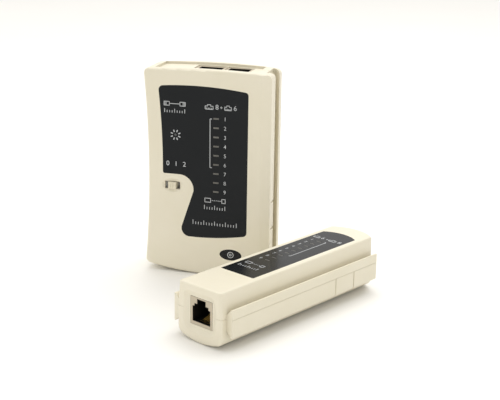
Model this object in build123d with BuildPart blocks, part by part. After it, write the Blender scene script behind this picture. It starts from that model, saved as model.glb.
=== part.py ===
from build123d import *
import math
import os

# ---- driving dimensions, mm -------------------------------------------------
# Each unit has its own frame: x across, y along its length, depth from its front face.

# master unit
M_WIDTH = 65.0            # across the front face
M_HEIGHT = 105.1          # middle of the top arc above the middle of the bottom arc
M_TOP_RISE = 0.9          # top arc, corners below the middle
M_BOTTOM_RISE = 3.9       # bottom arc, corners above the middle
M_WAIST = 2.3             # how far the left edge curves in
M_WAIST_Y = 56.0
M_CORNER = 2.6
M_DEPTH_SIDE = 21.5       # front face to the back, at the sides
M_DEPTH = 25.5            # front face to the crown of the back
M_BEVEL = (4.6, 0.8)      # shallow bevel down the front's right edge: width, drop

# remote unit
R_WIDTH = 25.0            # across the front face
R_DRAFT = 0.9             # how far each side leans out from there to the split
R_LENGTH = 110.8          # near end to the tip of the far arc
R_FAR_RISE = 4.8          # far corners short of the tip
R_CORNER = 1.2
R_BACK_CORNER = 4.0       # where the sides turn into the back
R_DEPTH_SIDE = 23.8
R_DEPTH = 26.6

# where the two units rest
MASTER_AT = (-26.858, 31.319)
REMOTE_AT = (-3.808, -51.061)   # middle of the near end
REMOTE_TURN = 62.9            # degrees from +X to the remote's length

# shells
WALL = 1.8
TOP_WALL = 3.2            # master, under the port recess
SPLIT = 12.0              # depth of the line between the front and rear shells
EDGE_R = 1.1              # rounding of the front edges
BACK_R = 2.0
FILM = 0.3                # labels and badge, let in flush
SEAM = 0.15               # groove round the split, this deep and this high on each shell

# dovetail rail of the remote and channel of the master
RAIL_DEPTH = 13.9         # depth of the middle of the rail
RAIL_OUT = 3.2            # how far the rail stands out
RAIL_NECK = 7.6
RAIL_PLATE = 12.8
RAIL_EDGE = 0.8           # flat edge of the wide plate
RAIL_STARTS = (1.2, 3.2)  # near ends of the left and right rails
RAIL_END = 105.8
GROOVE_Y = (74.0, 87.8)   # detent grooves across the plate
GROOVE_WIDTH = 0.8
GROOVE_DEPTH = 0.3
CHANNEL_GAP = 0.35        # room all round the rail
CHANNEL_DEPTH_AT = 12.2   # depth of the middle of the channel
CHANNEL_START = 3.2
CHANNEL_WALL = 1.7
LIP_SLITS = (26.5, 40.2)  # slits that free a springy tongue of the channel's front lip
LIP_SLIT = (2.3, 0.9, 4.8)   # across, along and deep

# jacks: six-position and eight-position, mouth to back 15.5
JACK_LENGTH = 15.5
JACK_HEIGHT = 12.85
JACK_WIDTH_6 = 13.2
JACK_WIDTH_8 = 15.2
MOUTH_HALF_6 = 5.4
MOUTH_HALF_8 = 5.95
MOUTH_FLOOR = 1.5
MOUTH_STEPS = (8.6, 9.9, 12.2)   # heights where the mouth narrows and ends
MOUTH_DEEP = 13.5
CONTACT_PITCH = 1.02
CONTACT_WIDTH = 0.46
PORT_GAP = 0.15

# board and what it carries
BOARD_FRONT = 4.5         # depth of the board's front face
BOARD_THICK = 1.6
BOARD_BACK = BOARD_FRONT + BOARD_THICK
JACK_MID = BOARD_BACK + JACK_HEIGHT / 2
LED_PITCH = 4.63
LED_SIZE = (3.6, 1.8)
WINDOW = (3.0, 0.95)
M_LED_X = 5.0
M_LED_TOP = 81.3
R_LED_X = -1.8
R_LED_FIRST = 45.9
POWER_LED_AT = (-15.9, 71.8)
POWER_WINDOW_R = 0.65
M_PORT_8_X = -1.9
M_PORT_6_X = 12.7
PORT_RECESS = 1.2
PORT_RECESS_X = (-27.5, 24.6)
PORT_RECESS_DEPTH = (3.2, 20.6)
M_PORT_FACE = 103.4

# slide switch
SWITCH_AT = (-17.7, 45.8)
SWITCH_STEP = 1.9
SWITCH_SLOT = (8.0, 3.9)
KNOB = (4.0, 3.3)
KNOB_PROUD = 0.7
DISH = (11.4, 7.2)
DISH_DEPTH = 0.6

# battery bay
BATTERY = (48.5, 26.0, 17.5)
BATTERY_AT = (-1.5, 22.0)
BATTERY_FRONT = 3.0
DOOR_X = (-27.0, 24.0)
DOOR_Y = (8.0, 36.2)
DOOR_GAP = 0.3
DOOR_TOP_GAP = 0.6        # lets the inner lip swing past the opening's top edge

# screws
SCREW_R = 1.2
SCREW_HEAD_R = 2.4
SCREW_SUNK = 5.0          # seat of the head below the back
BOSS_R = 2.8
M_SCREWS = ((-25.4, 94.0), (24.0, 78.0), (-25.2, 40.4), (-1.5, 4.9))
R_SCREWS = ((0.0, 25.0), (5.0, 80.0))

BADGE_AT = (12.9, 12.0)
BADGE_HALF = (5.7, 2.9)

R_SIDE = R_WIDTH / 2 + R_DRAFT                # half the remote's width at the split
CHANNEL_FLOOR = M_WIDTH / 2 - RAIL_OUT - 2 * CHANNEL_GAP
M_CAVITY_RIGHT = CHANNEL_FLOOR - CHANNEL_WALL

turn = math.radians(REMOTE_TURN)
master = Plane(origin=(MASTER_AT[0], MASTER_AT[1], 0), x_dir=(1, 0, 0), z_dir=(0, -1, 0))
remote = Plane(origin=(REMOTE_AT[0], REMOTE_AT[1], R_DEPTH),
               x_dir=(math.sin(turn), -math.cos(turn), 0), z_dir=(0, 0, 1))


# ---- helpers ----------------------------------------------------------------
def at_depth(unit, depth):
    """Plane parallel to the front face, this deep, facing out of it."""
    return unit.offset(-depth)


def end_view(unit, y=0.0):
    """Plane across the unit: local x is across, local y is depth, normal along the length."""
    return Plane(origin=unit.from_local_coords((0, y, 0)), x_dir=unit.x_dir, z_dir=unit.y_dir)


def block(unit, x, y, depth, mode=Mode.ADD):
    """Box between pairs of values in the unit's frame."""
    with BuildSketch(at_depth(unit, depth[1])) as face:
        with Locations(((x[0] + x[1]) / 2, (y[0] + y[1]) / 2)):
            Rectangle(x[1] - x[0], y[1] - y[0])
    extrude(face.sketch, amount=depth[1] - depth[0], mode=mode)


def post(unit, x, y, depth, radius, mode=Mode.ADD):
    """Cylinder along the depth."""
    with BuildSketch(at_depth(unit, depth[1])) as face:
        with Locations((x, y)):
            Circle(radius)
    extrude(face.sketch, amount=depth[1] - depth[0], mode=mode)


def around(middle, size):
    return middle - size / 2, middle + size / 2


def master_outline(inset=0.0, top=0.0, right=None):
    """Front view of the master, less a wall, a thicker top wall and the channel's wall."""
    half = M_WIDTH / 2
    corner_top = M_HEIGHT - M_TOP_RISE
    with BuildSketch(Plane.XY) as view:
        with BuildLine():
            ThreePointArc((-half, corner_top), (0, M_HEIGHT), (half, corner_top))
            Line((half, corner_top), (half, M_BOTTOM_RISE))
            ThreePointArc((half, M_BOTTOM_RISE), (0, 0), (-half, M_BOTTOM_RISE))
            ThreePointArc((-half, M_BOTTOM_RISE), (-half + M_WAIST, M_WAIST_Y), (-half, corner_top))
        make_face()
        fillet(view.vertices(), M_CORNER)
        if inset:
            offset(amount=-inset, mode=Mode.REPLACE)
        if top:
            with Locations((0, M_HEIGHT - top + 50)):
                Rectangle(200, 100, mode=Mode.SUBTRACT)
        if right is not None:
            with Locations((right + 50, 50)):
                Rectangle(100, 300, mode=Mode.SUBTRACT)
    return view.sketch


def remote_outline(half, inset=0.0):
    """Front view of the remote at this half width: square near end, arched far end."""
    corner = R_LENGTH - R_FAR_RISE * (half / (R_WIDTH / 2)) ** 2
    with BuildSketch(Plane.XY) as view:
        with BuildLine():
            Polyline((-half, corner), (-half, 0), (half, 0), (half, corner))
            ThreePointArc((half, corner), (0, R_LENGTH), (-half, corner))
        make_face()
        fillet(view.vertices(), R_CORNER)
        if inset:
            offset(amount=-inset, mode=Mode.REPLACE)
    return view.sketch


def remote_section(inset=0.0):
    """End view of the remote, less a wall: sides lean out to the split, the back is curved."""
    front, side = R_WIDTH / 2, R_SIDE
    with BuildSketch(Plane.XY) as view:
        with BuildLine():
            Polyline((-side, R_DEPTH_SIDE), (-side, SPLIT), (-front, 0), (front, 0), (side, SPLIT),
                     (side, R_DEPTH_SIDE))
            ThreePointArc((side, R_DEPTH_SIDE), (0, R_DEPTH), (-side, R_DEPTH_SIDE))
        make_face()
        fillet(view.vertices().group_by(Axis.Y)[-1], R_BACK_CORNER)
        if inset:
            offset(amount=-inset, mode=Mode.REPLACE)
    return view.sketch


def remote_body(depth):
    """The remote's solid body between two depths."""
    with BuildPart() as part:
        with BuildSketch(end_view(remote, -5)) as section:
            add(remote_section())
        extrude(section.sketch, amount=R_LENGTH + 10)
        with BuildSketch(at_depth(remote, depth[1])) as view:
            add(remote_outline(R_SIDE + 3))
        extrude(view.sketch, amount=depth[1] - depth[0], mode=Mode.INTERSECT)
    return part.part


def upright(edges):
    """The edges that run mostly along the depth."""
    return [e for e in edges if abs((e @ 1 - e @ 0).Z) > 0.9 * e.length and e.length > 3]


def seam(unit, outline, side):
    """Shallow groove round the split, on the front (side -1) or rear (side +1) shell."""
    low, high = sorted((SPLIT, SPLIT + side * SEAM))
    with BuildSketch(at_depth(unit, high)) as ring:
        Rectangle(400, 400)
        add(outline, mode=Mode.SUBTRACT)
    extrude(ring.sketch, amount=high - low, mode=Mode.SUBTRACT)


def belly(unit, half, side, crown, length, inset=0.0):
    """Keep what lies in front of the curved back."""
    reach = half + 2
    low = crown - (crown - side) * (reach / half) ** 2 - inset
    with BuildSketch(end_view(unit, -5)) as section:
        with BuildLine():
            Polyline((-reach, low), (-reach, -5), (reach, -5), (reach, low))
            ThreePointArc((reach, low), (0, crown - inset), (-reach, low))
        make_face()
    extrude(section.sketch, amount=length + 10, mode=Mode.INTERSECT)


def dovetail(root, out, neck, plate, mid, inner):
    """Section in the end view: narrow at the root, wide outside, with a flat edge."""
    with BuildSketch(Plane.XY) as section:
        with BuildLine():
            Polyline((inner, mid - neck), (root, mid - neck), (out - RAIL_EDGE, mid - plate),
                     (out, mid - plate), (out, mid + plate), (out - RAIL_EDGE, mid + plate),
                     (root, mid + neck), (inner, mid + neck), close=True)
        make_face()
    return section.sketch


def master_channel():
    """The channel that takes the rail, cut in from the right, open at the top."""
    edge = -M_WIDTH / 2
    profile = dovetail(edge + CHANNEL_GAP, -CHANNEL_FLOOR, RAIL_NECK / 2 + CHANNEL_GAP,
                       RAIL_PLATE / 2 + CHANNEL_GAP, CHANNEL_DEPTH_AT, edge - 3)
    with BuildSketch(end_view(master, CHANNEL_START)) as section:
        add(mirror(profile, about=Plane.YZ, mode=Mode.PRIVATE))
    extrude(section.sketch, amount=M_HEIGHT, mode=Mode.SUBTRACT)


def port_recess():
    """Shallow recess in the master's top and the mouths cut through its floor."""
    left, right = PORT_RECESS_X
    low = M_HEIGHT - M_TOP_RISE - PORT_RECESS
    with BuildSketch(at_depth(master, PORT_RECESS_DEPTH[1])) as view:
        with BuildLine():
            ThreePointArc((left, low + 0.25), ((left + right) / 2, low + M_TOP_RISE), (right, low + 0.38))
            Polyline((right, low + 0.38), (right, M_HEIGHT + 2), (left, M_HEIGHT + 2), (left, low + 0.25))
        make_face()
    extrude(view.sketch, amount=PORT_RECESS_DEPTH[1] - PORT_RECESS_DEPTH[0], mode=Mode.SUBTRACT)
    for x, width in ((M_PORT_6_X, JACK_WIDTH_6), (M_PORT_8_X, JACK_WIDTH_8)):
        block(master, around(x, width + 2 * PORT_GAP), (M_HEIGHT - 8, M_HEIGHT + 2),
              around(JACK_MID, JACK_HEIGHT + 2 * PORT_GAP), Mode.SUBTRACT)


def corner_of(view, x, y):
    return [p for p in view.vertices() if math.hypot(p.X - x, p.Y - y) < 0.01]


def label_outline():
    """Dark label of the master, which leaves the switch corner free."""
    with BuildSketch(Plane.XY) as view:
        with BuildLine():
            ThreePointArc((-24.7, 96.0), (-1.7, 96.9), (21.3, 95.0))
            Line((21.3, 95.0), (21.1, 22.6))
            ThreePointArc((21.1, 22.6), (5.0, 20.2), (-14.46, 19.9))
            Line((-14.46, 19.9), (-6.6, 43.6))
            ThreePointArc((-6.6, 43.6), (-8.6, 49.5), (-14.4, 51.8))
            Line((-14.4, 51.8), (-22.6, 51.8))
            ThreePointArc((-22.6, 51.8), (-22.9, 72.0), (-24.7, 96.0))
        make_face()
        for x, y, radius in ((-24.7, 96.0, 2.4), (21.3, 95.0, 1.6), (21.1, 22.6, 2.2),
                             (-14.46, 19.9, 4.2), (-22.6, 51.8, 1.0)):
            fillet(corner_of(view, x, y), radius)
    return view.sketch


def remote_label_outline():
    """Dark label of the remote: straight near edge, far edge parallel to the far arc."""
    half, near, far = 9.85, 23.5, 96.7
    with BuildSketch(Plane.XY) as view:
        with BuildLine():
            Polyline((-half, far), (-half, near), (half, near), (half, far))
            ThreePointArc((half, far), (0, far + 3.2), (-half, far))
        make_face()
        fillet(view.vertices(), 0.7)
    return view.sketch


def led_rows(x, first, step):
    return [(x, first + i * step) for i in range(9)]


M_LEDS = led_rows(M_LED_X, M_LED_TOP, -LED_PITCH)
R_LEDS = led_rows(R_LED_X, R_LED_FIRST, LED_PITCH)


def jack_plane(unit, x, y, facing):
    """Mouth plane of a jack, latch side to the front; facing is +1 or -1 along the length."""
    origin = unit.from_local_coords((x, y, -JACK_MID))
    return Plane(origin=origin, x_dir=unit.x_dir * -facing, z_dir=unit.y_dir * facing)


def mouth(half):
    """Stepped opening of a jack, seen from the front."""
    low = -JACK_HEIGHT / 2
    a, b, c = (low + h for h in MOUTH_STEPS)
    floor = low + MOUTH_FLOOR
    n1, n2 = half - 1.1, half - 2.8
    with BuildSketch(Plane.XY) as view:
        with BuildLine():
            Polyline((-half, floor), (half, floor), (half, a), (n1, a), (n1, b), (n2, b), (n2, c),
                     (-n2, c), (-n2, b), (-n1, b), (-n1, a), (-half, a), close=True)
        make_face()
    return view.sketch


def jack(plane, width, half):
    low = -JACK_HEIGHT / 2
    with BuildPart() as part:
        with BuildSketch(plane):
            Rectangle(width, JACK_HEIGHT)
        extrude(amount=-JACK_LENGTH)
        with BuildSketch(plane):
            add(mouth(half))
        extrude(amount=-MOUTH_DEEP, mode=Mode.SUBTRACT)
        # comb of slots in the floor of the mouth, one for each contact
        with BuildSketch(plane.offset(-1.6)):
            with Locations(*[(x, low + MOUTH_FLOOR) for x in contact_places(half)]):
                Rectangle(CONTACT_WIDTH + 0.1, 1.4)
        extrude(amount=-8.0, mode=Mode.SUBTRACT)
    return part


def contact_places(half):
    count = 8 if half > 5.5 else 6
    return [(i - (count - 1) / 2) * CONTACT_PITCH for i in range(count)]


def contacts(plane, half):
    """Bent spring wires that rise from the floor of the mouth towards its back."""
    low = -JACK_HEIGHT / 2
    with BuildPart() as part:
        for x in contact_places(half):
            side = Plane(origin=plane.from_local_coords((x - CONTACT_WIDTH / 2, 0, 0)),
                         x_dir=plane.y_dir, z_dir=plane.x_dir)
            with BuildSketch(side) as bend:
                with BuildLine():
                    Polyline((low + 0.85, -2.0), (low + 0.85, -4.0), (low + 3.9, -12.0), (low + 4.4, -12.0),
                             (low + 1.3, -3.8), (low + 1.3, -2.0), close=True)
                make_face()
            extrude(bend.sketch, amount=CONTACT_WIDTH)
    return part


def back_at(unit, x):
    """Depth of the curved back at this distance from the middle."""
    if unit is master:
        half, side, crown = M_WIDTH / 2, M_DEPTH_SIDE, M_DEPTH
    else:
        half, side, crown = R_SIDE, R_DEPTH_SIDE, R_DEPTH
    return crown - (crown - side) * (x / half) ** 2


def screws(unit, places):
    """Pan-head screws put in from the back, heads sunk below it."""
    with BuildPart() as part:
        for x, y in places:
            seat = back_at(unit, x) - SCREW_SUNK
            post(unit, x, y, (seat, seat + 1.8), SCREW_HEAD_R)
            post(unit, x, y, (BOARD_BACK + 1.0, seat), SCREW_R)
            block(unit, around(x, 3.2), around(y, 0.6), (seat + 1.2, seat + 1.8), Mode.SUBTRACT)
            block(unit, around(x, 0.6), around(y, 3.2), (seat + 1.2, seat + 1.8), Mode.SUBTRACT)
    return part


def front_bosses(unit, places):
    for x, y in places:
        post(unit, x, y, (WALL - 0.4, SPLIT), BOSS_R)
        post(unit, x, y, (BOARD_BACK, SPLIT + 1), SCREW_R + 0.05, Mode.SUBTRACT)


def rear_bosses(unit, places):
    for x, y in places:
        back = back_at(unit, x)
        post(unit, x, y, (SPLIT, back - 0.9), BOSS_R + 0.6)
        post(unit, x, y, (SPLIT - 1, back + 2), SCREW_R + 0.3, Mode.SUBTRACT)
        post(unit, x, y, (back - SCREW_SUNK, back + 2), SCREW_HEAD_R + 0.3, Mode.SUBTRACT)


def save(part, name):
    part.part.label = name
    export_step(part.part, f"parts/{name}.step")


os.makedirs("parts", exist_ok=True)


# ---- master: front shell ----------------------------------------------------
with BuildPart() as master_front_shell:
    with BuildSketch(at_depth(master, SPLIT)):
        add(master_outline())
    extrude(amount=SPLIT)
    rim = master_front_shell.faces().sort_by(Axis(master.origin, master.z_dir))[-1].edges()
    fillet(rim, EDGE_R)
    with BuildSketch(at_depth(master, SPLIT)):
        add(master_outline(WALL, TOP_WALL, M_CAVITY_RIGHT))
    extrude(amount=SPLIT - WALL, mode=Mode.SUBTRACT)
    front_bosses(master, M_SCREWS)
    # rests for the board
    for x, y in ((-20.0, 84.0), (18.0, 84.0), (-8.0, 42.0), (16.0, 42.0)):
        post(master, x, y, (WALL - 0.4, BOARD_FRONT), 2.0)
    # seats for the label and the badge
    with BuildSketch(at_depth(master, FILM)):
        add(label_outline())
    extrude(amount=FILM + 1, mode=Mode.SUBTRACT)
    with BuildSketch(at_depth(master, FILM)):
        with Locations(BADGE_AT):
            Ellipse(*BADGE_HALF)
    extrude(amount=FILM + 1, mode=Mode.SUBTRACT)
    # light slots
    for x, y in M_LEDS:
        block(master, around(x, LED_SIZE[0] + 0.3), around(y, LED_SIZE[1] + 0.3), (-1, WALL + 1), Mode.SUBTRACT)
    post(master, *POWER_LED_AT, (-1, WALL + 1), 2.2, Mode.SUBTRACT)
    # dished seat and slot of the switch
    with BuildSketch(at_depth(master, DISH_DEPTH)):
        with Locations(SWITCH_AT):
            Ellipse(DISH[0] / 2 - 1.2, DISH[1] / 2 - 1.2)
    with BuildSketch(at_depth(master, -0.01)):
        with Locations(SWITCH_AT):
            Ellipse(DISH[0] / 2, DISH[1] / 2)
    loft(mode=Mode.SUBTRACT)
    block(master, around(SWITCH_AT[0], SWITCH_SLOT[0]), around(SWITCH_AT[1], SWITCH_SLOT[1]),
          (-1, WALL + 1), Mode.SUBTRACT)
    port_recess()
    master_channel()
    for y in LIP_SLITS:
        block(master, (M_WIDTH / 2 - LIP_SLIT[0], M_WIDTH / 2 + 1), around(y, LIP_SLIT[1]),
              (3.5, 3.5 + LIP_SLIT[2]), Mode.SUBTRACT)
    # shallow bevel down the right edge
    slope = M_BEVEL[1] / M_BEVEL[0]
    start = M_WIDTH / 2 - M_BEVEL[0]
    with BuildSketch(end_view(master, -1)) as wedge:
        with BuildLine():
            Polyline((start, 0), (start + 5, 5 * slope), (start + 5, -1), (start, -1), close=True)
        make_face()
    extrude(wedge.sketch, amount=M_HEIGHT + 2, mode=Mode.SUBTRACT)
    seam(master, master_outline(SEAM), -1)
save(master_front_shell, "master_front_shell")

# ---- master: rear shell -----------------------------------------------------
with BuildPart() as bay_plug:
    with BuildSketch(at_depth(master, M_DEPTH + 1)):
        add(master_outline(WALL, TOP_WALL, M_CAVITY_RIGHT))
    extrude(amount=M_DEPTH + 2 - SPLIT)
    belly(master, M_WIDTH / 2, M_DEPTH_SIDE, M_DEPTH, M_HEIGHT, WALL)

with BuildPart() as master_rear_shell:
    with BuildSketch(at_depth(master, M_DEPTH + 1)):
        add(master_outline())
    extrude(amount=M_DEPTH + 1 - SPLIT)
    belly(master, M_WIDTH / 2, M_DEPTH_SIDE, M_DEPTH, M_HEIGHT)
    back = master_rear_shell.faces().sort_by(Axis(master.origin, master.z_dir))[0]
    fillet(back.edges(), BACK_R)
    add(bay_plug.part, mode=Mode.SUBTRACT)
    # wall between the battery bay and the board bay
    block(master, (-29.5, M_CAVITY_RIGHT + 0.5), (DOOR_Y[1] + 0.5, DOOR_Y[1] + 1.9), (SPLIT, M_DEPTH_SIDE))
    rear_bosses(master, M_SCREWS)
    block(master, (22.5, 27.0), (DOOR_Y[1], DOOR_Y[1] + 3), (SPLIT - 1, SPLIT + 3.2), Mode.SUBTRACT)
    # opening for the door
    block(master, DOOR_X, DOOR_Y, (SPLIT + 2, M_DEPTH + 2), Mode.SUBTRACT)
    port_recess()
    master_channel()
    # detent bumps on the floor of the channel
    for y in GROOVE_Y:
        with BuildSketch(end_view(master, M_HEIGHT - y - 0.3)):
            with Locations((CHANNEL_FLOOR, CHANNEL_DEPTH_AT + 3.4)):
                Rectangle(0.5, 3.4)
        extrude(amount=0.6)
    seam(master, master_outline(SEAM), 1)
save(master_rear_shell, "master_rear_shell")

# ---- master: battery door ---------------------------------------------------
with BuildPart() as battery_door:
    x = (DOOR_X[0] + DOOR_GAP, DOOR_X[1] - DOOR_GAP)
    y = (DOOR_Y[0] + DOOR_GAP, DOOR_Y[1] - DOOR_TOP_GAP)
    block(master, x, y, (M_DEPTH_SIDE - 0.7, M_DEPTH + 1))
    belly(master, M_WIDTH / 2, M_DEPTH_SIDE, M_DEPTH, M_HEIGHT)
    # hollow it to one wall, with a lip all round
    with BuildPart(mode=Mode.PRIVATE) as hollow:
        block(master, (x[0] + 1.4, x[1] - 1.4), (y[0] + 1.4, y[1] - 1.4), (0, M_DEPTH + 1))
        belly(master, M_WIDTH / 2, M_DEPTH_SIDE, M_DEPTH, M_HEIGHT, WALL)
    add(hollow.part, mode=Mode.SUBTRACT)
    # finger notch at the top edge and grip ridges below it
    mid = BATTERY_AT[0]
    block(master, around(mid, 12.0), (y[1] - 2.2, y[1] + 1), (M_DEPTH - 1.0, M_DEPTH + 1), Mode.SUBTRACT)
    for i in range(4):
        block(master, around(mid, 12.0), around(y[1] - 4.2 - 1.6 * i, 0.7),
              (M_DEPTH - 0.4, M_DEPTH + 1), Mode.SUBTRACT)
save(battery_door, "battery_door")

# ---- master: label and badge ------------------------------------------------
with BuildPart() as master_label:
    with BuildSketch(at_depth(master, FILM)):
        add(label_outline())
        with Locations(*M_LEDS):
            Rectangle(*WINDOW, mode=Mode.SUBTRACT)
        with Locations(POWER_LED_AT):
            Circle(POWER_WINDOW_R, mode=Mode.SUBTRACT)
    extrude(amount=FILM)
save(master_label, "master_label")

with BuildPart() as master_badge:
    with BuildSketch(at_depth(master, FILM)):
        with Locations(BADGE_AT):
            Ellipse(*BADGE_HALF)
    extrude(amount=FILM)
save(master_badge, "master_badge")

# ---- master: board ----------------------------------------------------------
with BuildPart() as master_board:
    block(master, (-28.0, M_CAVITY_RIGHT - 0.4), (38.8, 101.0), (BOARD_FRONT, BOARD_BACK))
    for x, y in M_SCREWS:
        post(master, x, y, (BOARD_FRONT - 1, BOARD_BACK + 1), BOSS_R + 0.3, Mode.SUBTRACT)
    block(master, (-29.0, M_SCREWS[2][0]), (38.0, M_SCREWS[2][1] + BOSS_R + 0.3), (BOARD_FRONT - 1, BOARD_BACK + 1),
          Mode.SUBTRACT)
save(master_board, "master_board")


def leds(unit, places):
    """Flat lamps that reach from the board to the windows of the label."""
    with BuildPart() as part:
        for x, y in places:
            block(unit, around(x, LED_SIZE[0]), around(y, LED_SIZE[1]), (FILM, BOARD_FRONT))
    return part


master_leds = leds(master, M_LEDS)
save(master_leds, "master_leds")

with BuildPart() as power_led:
    post(master, *POWER_LED_AT, (3.4, BOARD_FRONT), 1.9)
    post(master, *POWER_LED_AT, (FILM, 3.4), 1.5)
save(power_led, "power_led")


def dual_in_line(unit, x, y, pins):
    """Chip body on the back of the board, pins through it."""
    length = pins / 2 * 2.54
    block(unit, around(x, 6.4), around(y, length), (BOARD_BACK + 0.5, BOARD_BACK + 3.9))
    for side in (-1, 1):
        for i in range(pins // 2):
            py = y - length / 2 + 2.54 * (i + 0.5)
            block(unit, around(x + side * 3.65, 0.9), around(py, 0.5), (BOARD_BACK, BOARD_BACK + 2.4))


with BuildPart() as master_chips:
    dual_in_line(master, -10.5, 70.0, 16)
    dual_in_line(master, 4.0, 70.0, 8)
    dual_in_line(master, 4.0, 52.0, 16)
save(master_chips, "master_chips")

with BuildPart() as master_resistors:
    for i in range(9):
        y = 46.0 + i * 4.2
        with BuildSketch(end_view(master, y - 1.1)) as tube:
            with Locations((14.2, BOARD_BACK + 1.1)):
                Rectangle(6.2, 2.2)
        extrude(tube.sketch, amount=2.2)
save(master_resistors, "master_resistors")

# ---- master: slide switch ---------------------------------------------------
sx, sy = SWITCH_AT
with BuildPart() as switch_housing:
    block(master, around(sx, 10.4), around(sy, 6.4), (WALL + 0.1, BOARD_FRONT))
    block(master, around(sx, KNOB[0] + 2 * SWITCH_STEP + 0.6), around(sy, KNOB[1] + 0.4),
          (WALL - 1, BOARD_FRONT - 0.6), Mode.SUBTRACT)
save(switch_housing, "switch_housing")

with BuildPart() as switch_knob:
    block(master, around(sx, KNOB[0]), around(sy, KNOB[1]), (-KNOB_PROUD, BOARD_FRONT - 0.6))
    top = switch_knob.faces().sort_by(Axis(master.origin, master.z_dir))[-1]
    fillet(top.edges(), 0.35)
    for i in (-1, 0, 1):
        block(master, around(sx + i * 0.95, 0.35), around(sy, KNOB[1] - 0.8),
              (-KNOB_PROUD - 0.25, -KNOB_PROUD + 0.2))
save(switch_knob, "switch_knob")

# ---- master: jacks ----------------------------------------------------------
face_8 = jack_plane(master, M_PORT_8_X, M_PORT_FACE, 1)
face_6 = jack_plane(master, M_PORT_6_X, M_PORT_FACE, 1)
master_rj45_jack = jack(face_8, JACK_WIDTH_8, MOUTH_HALF_8)
save(master_rj45_jack, "master_rj45_jack")
master_rj45_contacts = contacts(face_8, MOUTH_HALF_8)
save(master_rj45_contacts, "master_rj45_contacts")
master_rj11_jack = jack(face_6, JACK_WIDTH_6, MOUTH_HALF_6)
save(master_rj11_jack, "master_rj11_jack")
master_rj11_contacts = contacts(face_6, MOUTH_HALF_6)
save(master_rj11_contacts, "master_rj11_contacts")

# ---- master: battery, its connector and leads -------------------------------
bx, by = BATTERY_AT
battery_right = bx + BATTERY[0] / 2
with BuildPart() as battery:
    block(master, around(bx, BATTERY[0]), around(by, BATTERY[1]), (BATTERY_FRONT, BATTERY_FRONT + BATTERY[2]))
    fillet(battery.edges().filter_by(Axis.X), 2.2)
save(battery, "battery")

stud_depth = BATTERY_FRONT + BATTERY[2] / 2
with BuildPart() as battery_studs:
    for y in (by - 6.35, by + 6.35):
        stud = Plane(origin=master.from_local_coords((battery_right, y, -stud_depth)), z_dir=master.x_dir)
        with BuildSketch(stud) as disc:
            Circle(2.85)
        extrude(disc.sketch, amount=1.6)
save(battery_studs, "battery_studs")

with BuildPart() as battery_connector:
    block(master, (battery_right + 0.2, battery_right + 3.6), around(by, 25.0), around(stud_depth, 12.6))
    fillet(battery_connector.edges().filter_by(Axis.X), 3.0)
    for y in (by - 6.35, by + 6.35):
        stud = Plane(origin=master.from_local_coords((battery_right, y, -stud_depth)), z_dir=master.x_dir)
        with BuildSketch(stud) as disc:
            Circle(2.95)
        extrude(disc.sketch, amount=1.7, mode=Mode.SUBTRACT)
save(battery_connector, "battery_connector")

LEAD_R = 0.65


def lead(shift):
    """Lead from the connector's edge up to the back of the board."""
    start = (battery_right + 1.9, by + 12.5, -(stud_depth + shift))
    pts = [start, (battery_right + 1.9, by + 17.5, -(stud_depth + shift)),
           (21.5 + shift * 0.9, by + 21.5, -(stud_depth + shift)),
           (20.5 + shift * 0.9, by + 23.5, -(BOARD_BACK + 3.0)),
           (20.5 + shift * 0.9, by + 23.5, -BOARD_BACK)]
    path = [master.from_local_coords(p) for p in pts]
    with BuildPart() as part:
        with BuildLine() as route:
            FilletPolyline(*path, radius=1.4)
        with BuildSketch(Plane(origin=path[0], z_dir=master.y_dir)) as end:
            Circle(LEAD_R)
        sweep(end.sketch, path=route.wires()[0])
    return part


lead_positive = lead(-1.6)
save(lead_positive, "lead_positive")
lead_negative = lead(1.6)
save(lead_negative, "lead_negative")

master_screws = screws(master, M_SCREWS)
save(master_screws, "master_screws")


# ---- remote: shells ---------------------------------------------------------
def end_recess():
    """Recess with sloping sides round each jack, and the mouth through the end wall."""
    top, low = BOARD_BACK - 0.5, BOARD_BACK + JACK_HEIGHT + 1.2
    for width, face_y, reach, slope in ((JACK_WIDTH_6, R_PORT_NEAR, -3.0, 60), (JACK_WIDTH_8, R_PORT_FAR, 8.0, 20)):
        with BuildSketch(end_view(remote, face_y)) as view:
            with Locations((0, (top + low) / 2)):
                Rectangle(width + 1.7, low - top)
            fillet(view.vertices().group_by(Axis.Y)[-1], 3.0)
            fillet(view.vertices().group_by(Axis.Y)[0], 0.6)
        extrude(view.sketch, amount=reach, taper=-slope, mode=Mode.SUBTRACT)
    gap = 2 * PORT_GAP
    block(remote, around(0, JACK_WIDTH_6 + gap), (-1, 6.0), around(JACK_MID, JACK_HEIGHT + gap), Mode.SUBTRACT)
    block(remote, around(0, JACK_WIDTH_8 + gap), (R_PORT_FAR - 4, R_LENGTH + 1),
          around(JACK_MID, JACK_HEIGHT + gap), Mode.SUBTRACT)


def rails(depth):
    """The part of both dovetail rails that lies between these depths."""
    out = R_SIDE + RAIL_OUT
    profile = dovetail(R_SIDE, out, RAIL_NECK / 2, RAIL_PLATE / 2, RAIL_DEPTH, R_SIDE - 0.7)
    with BuildPart() as part:
        for side, start in zip((-1, 1), RAIL_STARTS):
            with BuildSketch(end_view(remote, start)) as section:
                add(profile if side > 0 else mirror(profile, about=Plane.YZ, mode=Mode.PRIVATE))
            extrude(section.sketch, amount=RAIL_END - start)
            for y in GROOVE_Y:
                block(remote, around(side * out, 2 * GROOVE_DEPTH), around(y, GROOVE_WIDTH),
                      (SPLIT, R_DEPTH), Mode.SUBTRACT)
            block(remote, around(side * out, 2 * SEAM), (0, R_LENGTH), around(SPLIT, 2 * SEAM), Mode.SUBTRACT)
        block(remote, (-30, 30), (-5, R_LENGTH + 5), depth, Mode.INTERSECT)
    return part.part


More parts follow.
